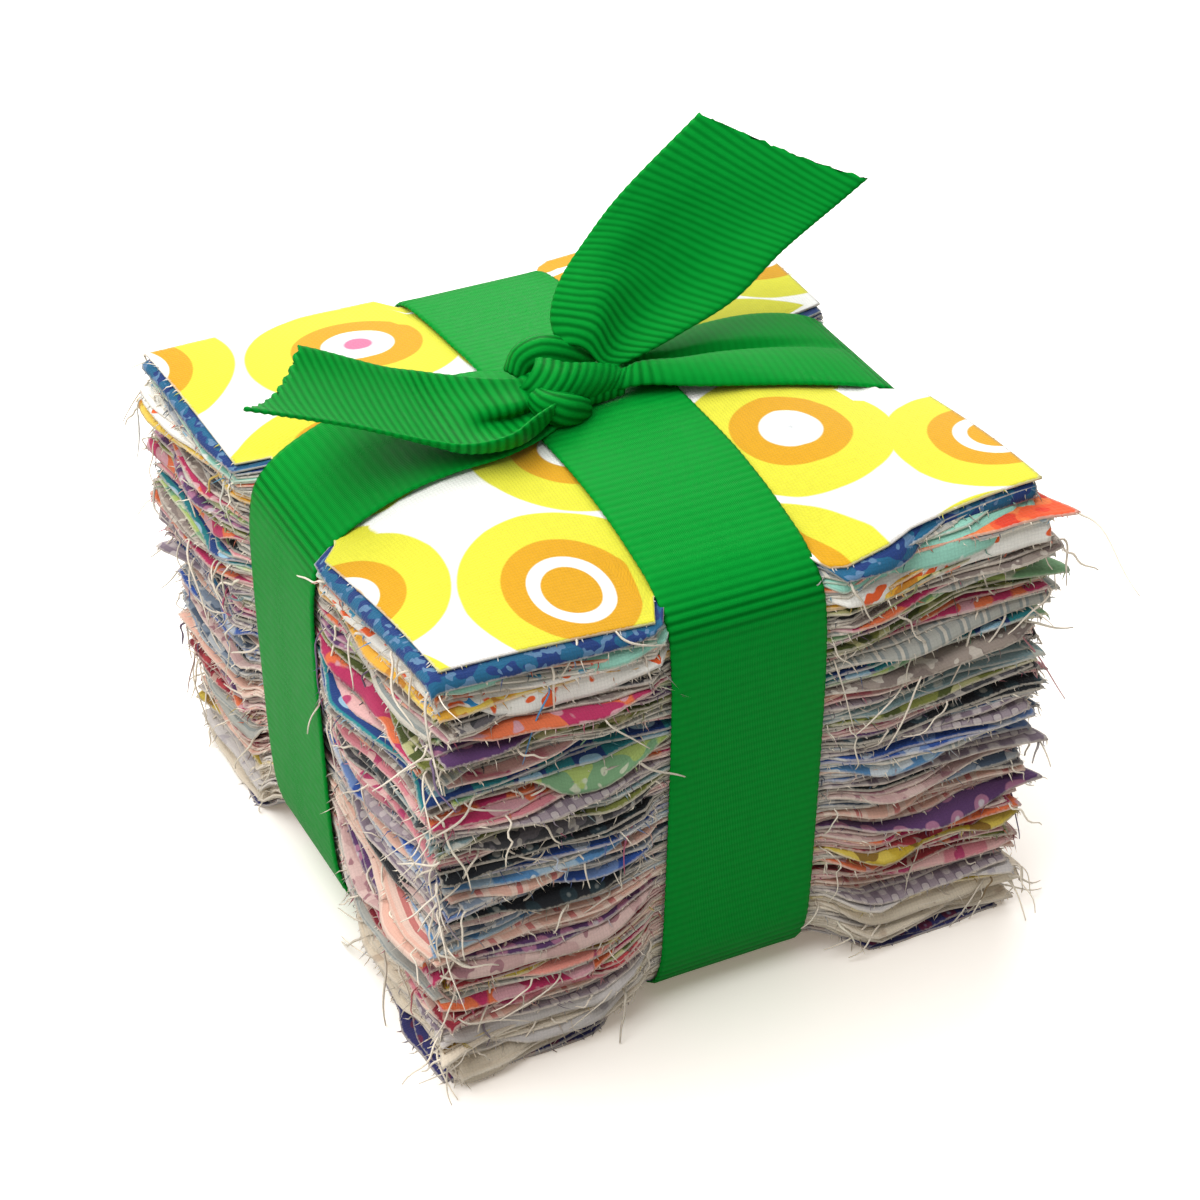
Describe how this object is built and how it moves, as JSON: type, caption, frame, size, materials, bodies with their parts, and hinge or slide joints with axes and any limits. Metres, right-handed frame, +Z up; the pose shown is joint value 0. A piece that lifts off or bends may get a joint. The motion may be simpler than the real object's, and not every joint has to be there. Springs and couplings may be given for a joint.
{
  "type": "charm pack",
  "caption": "Square stack of raw-edged printed cotton squares, tied both ways with a grosgrain ribbon that is knotted on top with two free ends.",
  "frame": {"origin": "on the resting surface, under the centre of the bounding box", "axes": "+X runs to the right along the front face, +Y to the back and +Z up through the stack"},
  "size_m": [0.0708, 0.0672, 0.0704],
  "materials": {
    "ribbon": "green grosgrain ribbon with fine cross ribs and a soft satin sheen",
    "print_top": "matt quilting cotton, white with a yellow, orange and pink print",
    "cotton_prints": "matt quilting cotton in many colours with frayed cut edges"
  },
  "bodies": {
    "root": {"ribbon": "ribbon", "square_01": "cotton_prints", "square_02": "cotton_prints", "square_03": "cotton_prints", "square_04": "cotton_prints", "square_05": "cotton_prints", "square_06": "cotton_prints", "square_07": "cotton_prints", "square_08": "cotton_prints", "square_09": "cotton_prints", "square_10": "cotton_prints", "square_11": "cotton_prints", "square_12": "cotton_prints", "square_13": "cotton_prints", "square_14": "cotton_prints", "square_15": "cotton_prints", "square_16": "cotton_prints", "square_17": "cotton_prints", "square_18": "cotton_prints", "square_19": "cotton_prints", "square_20": "cotton_prints", "square_21": "cotton_prints", "square_22": "cotton_prints", "square_23": "cotton_prints", "square_24": "cotton_prints", "square_25": "cotton_prints", "square_26": "cotton_prints", "square_27": "cotton_prints", "square_28": "cotton_prints", "square_29": "cotton_prints", "square_30": "cotton_prints", "square_31": "print_top"}
  },
  "joints": []
}
